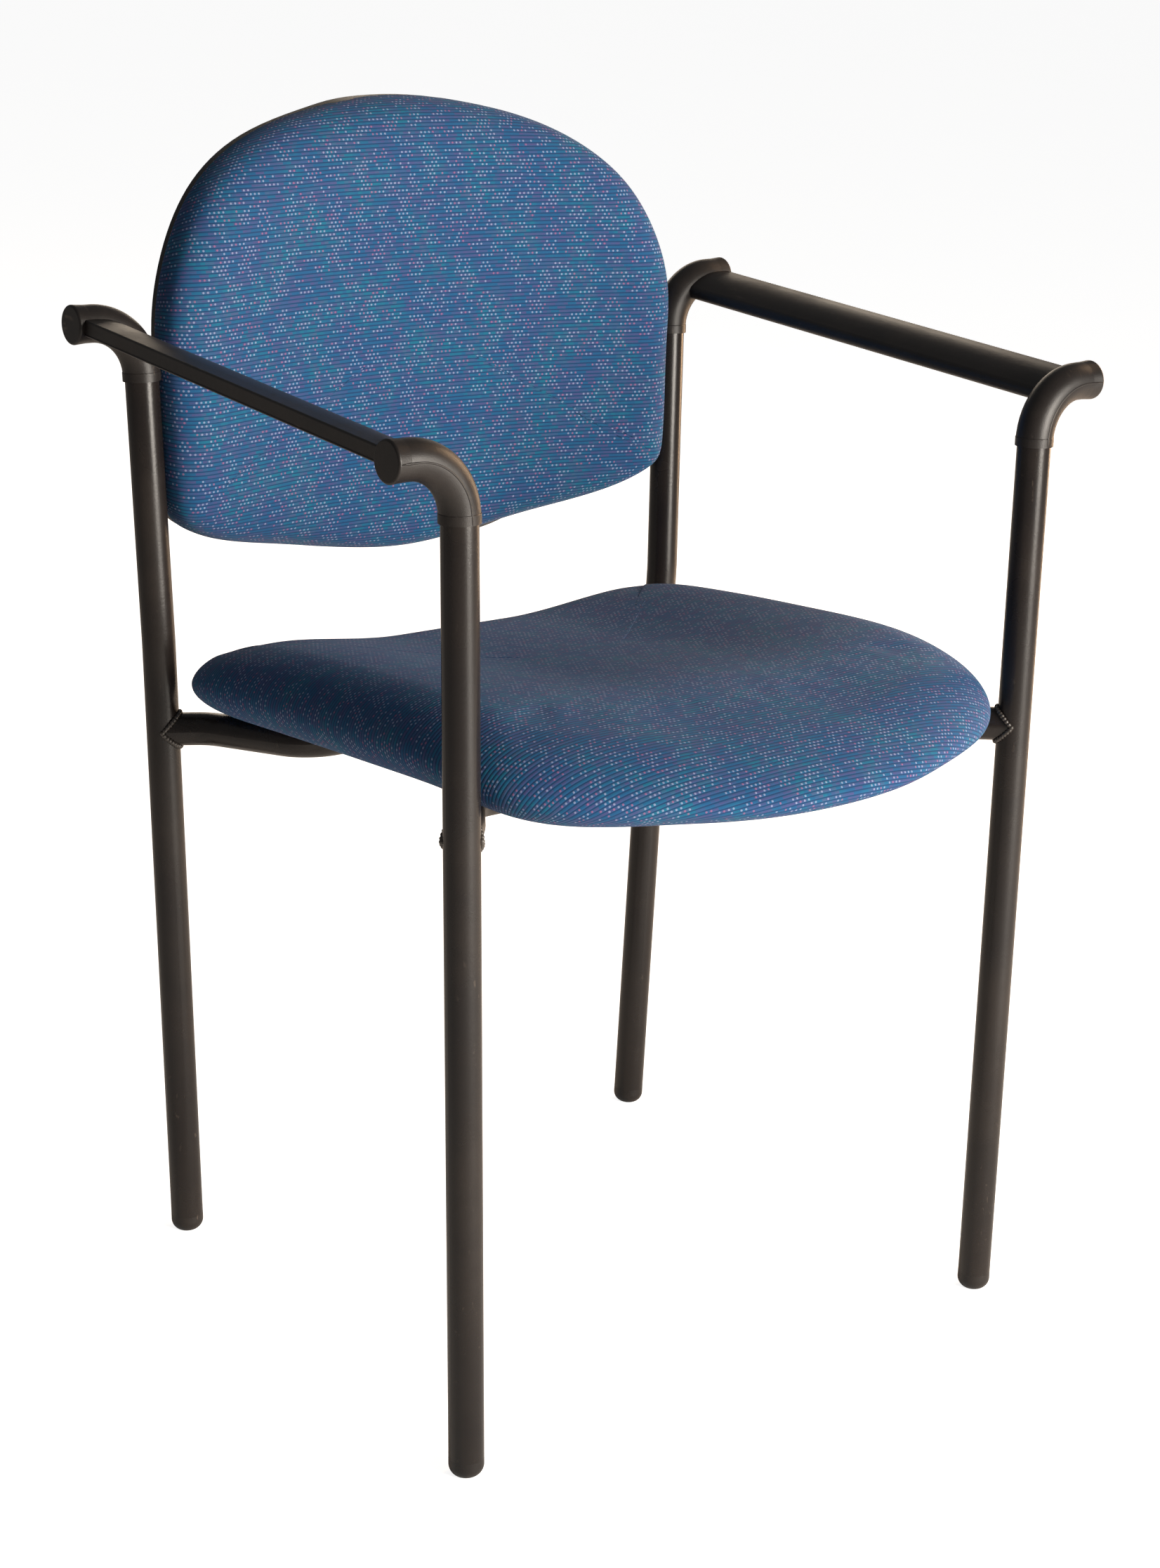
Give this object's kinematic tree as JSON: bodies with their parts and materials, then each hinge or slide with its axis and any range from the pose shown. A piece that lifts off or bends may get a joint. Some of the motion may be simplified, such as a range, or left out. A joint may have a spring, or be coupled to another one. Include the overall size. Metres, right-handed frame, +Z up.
{
  "type": "stacking armchair",
  "caption": "Stacking armchair with straight tube legs, moulded flared arms, a padded fabric seat with a turned-down nose and an arched padded back in a plastic shell.",
  "frame": {"origin": "on the floor, under the centre of the chair's bounding box", "axes": "+X to the sitter's left, +Y to the rear, +Z up"},
  "size_m": [0.5596, 0.514, 0.772],
  "materials": {
    "painted_steel": "black semi-gloss powder coat on tube",
    "weld_metal": "powder-coated weld bead",
    "black_plastic": "black satin moulded plastic",
    "blue_fabric": "woven blue and teal upholstery with small light and magenta flecks",
    "plywood": "raw birch plywood",
    "black_lining": "black non-woven lining",
    "zinc_steel": "zinc plated"
  },
  "bodies": {
    "root": {"front_leg_left": "painted_steel", "front_leg_right": "painted_steel", "rear_leg_left": "painted_steel", "rear_leg_right": "painted_steel", "front_bow_rail": "painted_steel", "rear_bow_rail": "painted_steel", "frame_welds": "weld_metal", "back_tab_lower_left": "painted_steel", "back_tab_upper_left": "painted_steel", "back_tab_lower_right": "painted_steel", "back_tab_upper_right": "painted_steel", "front_foot_cap_left": "black_plastic", "front_foot_cap_right": "black_plastic", "rear_foot_cap_left": "black_plastic", "rear_foot_cap_right": "black_plastic", "arm_left": "black_plastic", "arm_right": "black_plastic", "back_shell": "black_plastic", "seat_cushion": "blue_fabric", "back_cushion": "blue_fabric", "seat_board": "plywood", "back_board": "plywood", "seat_lining": "black_lining", "seat_screws": "zinc_steel", "back_screws": "zinc_steel", "seat_tee_nuts": "zinc_steel", "back_tee_nuts": "zinc_steel"}
  },
  "joints": []
}
